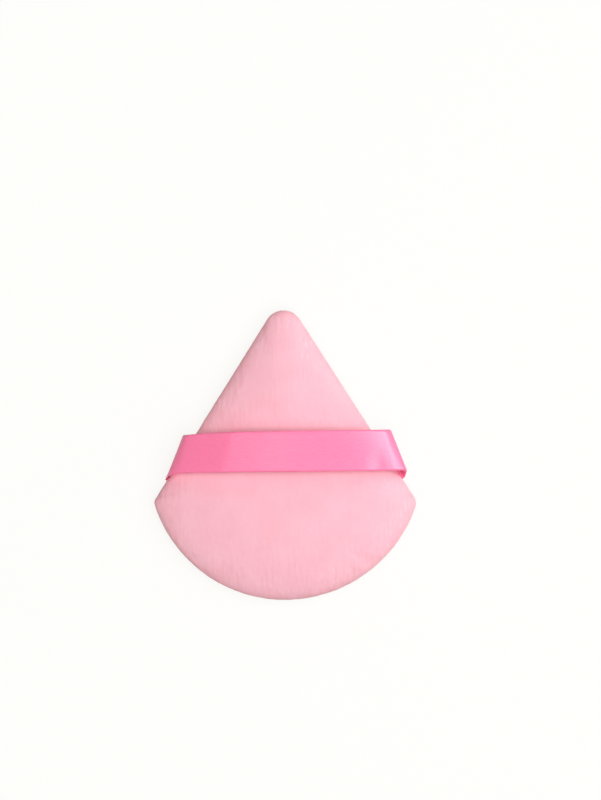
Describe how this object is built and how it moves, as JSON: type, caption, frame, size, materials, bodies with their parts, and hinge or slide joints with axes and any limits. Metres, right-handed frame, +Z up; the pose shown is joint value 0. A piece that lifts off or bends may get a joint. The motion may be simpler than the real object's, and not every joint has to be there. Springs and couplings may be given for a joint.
{
  "type": "powder puff",
  "caption": "Fan-shaped velour powder puff with a foam core and a satin finger strap sewn into its side seams.",
  "frame": {"origin": "on the surface that the puff rests on, under the middle of its outline", "axes": "+Z up out of the strap side, +Y towards the tip, +X along the strap to the right"},
  "size_m": [0.0704, 0.078, 0.0234],
  "materials": {
    "velour": "short soft pile, matt with a pale sheen at grazing angles",
    "foam": "open-cell foam, matt",
    "thread": "spun thread, slight sheen",
    "satin": "woven satin, glossy across the weave"
  },
  "bodies": {
    "puff": {"strap_side_cover": "velour", "powder_side_cover": "velour", "foam_core": "foam", "seam_thread": "thread", "closing_thread": "thread", "ribbon_sewn_end_left": "satin", "ribbon_sewn_end_right": "satin"},
    "strap_sides": {"ribbon_side_left": "satin", "ribbon_side_right": "satin"},
    "strap_middle": {"ribbon_finger_span": "satin"}
  },
  "joints": [
    {"name": "strap_swing", "type": "hinge", "parent": "puff", "child": "strap_sides", "pos_m": [0, -0.002, 0.008], "axis": [1, 0, 0], "range_deg": [-28, 14], "stiffness_Nm_per_rad": 0.0005},
    {"name": "strap_lift", "type": "slide", "parent": "strap_sides", "child": "strap_middle", "axis": [0, 0, 1], "range_m": [0, 0.005]}
  ]
}
